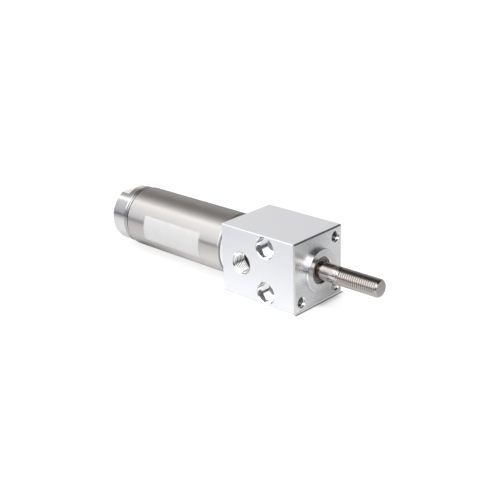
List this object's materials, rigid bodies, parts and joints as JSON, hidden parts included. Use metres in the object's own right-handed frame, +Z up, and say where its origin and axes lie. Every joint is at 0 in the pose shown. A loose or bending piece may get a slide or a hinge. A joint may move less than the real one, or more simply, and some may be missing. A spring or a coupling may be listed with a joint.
{
  "type": "pneumatic cylinder",
  "caption": "Block-mounted pneumatic cylinder: square front head with a side port, round rolled-end tube, rear cap with wrench flats and a threaded piston rod.",
  "frame": {"origin": "centre of the front mounting face, on the rod axis", "axes": "+X along the rod, out of the head; -Y out of the side port; +Z up"},
  "size_m": [0.1513, 0.0318, 0.0318],
  "materials": {
    "head_aluminium": "machined, fine",
    "tube_steel": "satin drawn stainless steel",
    "cap_aluminium": "turned, fine",
    "bronze": "sintered bronze, dull",
    "seal_rubber": "semi matte",
    "hardware_steel": "zinc plated",
    "spring_steel": "dark phosphated",
    "bumper_rubber": "matte",
    "label_film": "smooth vinyl film",
    "wear_plastic": "smooth",
    "rod_steel": "ground and polished",
    "piston_aluminium": "turned"
  },
  "bodies": {
    "barrel": {"head_block": "head_aluminium", "body_tube": "tube_steel", "rear_cap": "cap_aluminium", "rod_bushing": "bronze", "rod_wiper": "seal_rubber", "rod_seal": "seal_rubber", "seal_retaining_washer": "hardware_steel", "retaining_ring": "spring_steel", "head_o_ring": "seal_rubber", "cap_o_ring": "seal_rubber", "front_bumper": "bumper_rubber", "rear_bumper": "bumper_rubber", "blank_label": "label_film"},
    "seal_carrier": {"piston_seal_front": "seal_rubber", "piston_seal_rear": "seal_rubber", "wear_ring": "wear_plastic"},
    "rod_assembly": {"piston_rod": "rod_steel", "piston": "piston_aluminium", "piston_o_ring": "seal_rubber", "piston_washer": "hardware_steel", "piston_nut": "hardware_steel"}
  },
  "joints": [
    {"name": "rod_travel", "type": "slide", "parent": "barrel", "child": "seal_carrier", "axis": [1, 0, 0], "range_m": [0, 0.0381]},
    {"name": "rod_turn", "type": "hinge", "parent": "seal_carrier", "child": "rod_assembly", "pos_m": [0, 0, 0], "axis": [1, 0, 0], "continuous": true}
  ]
}
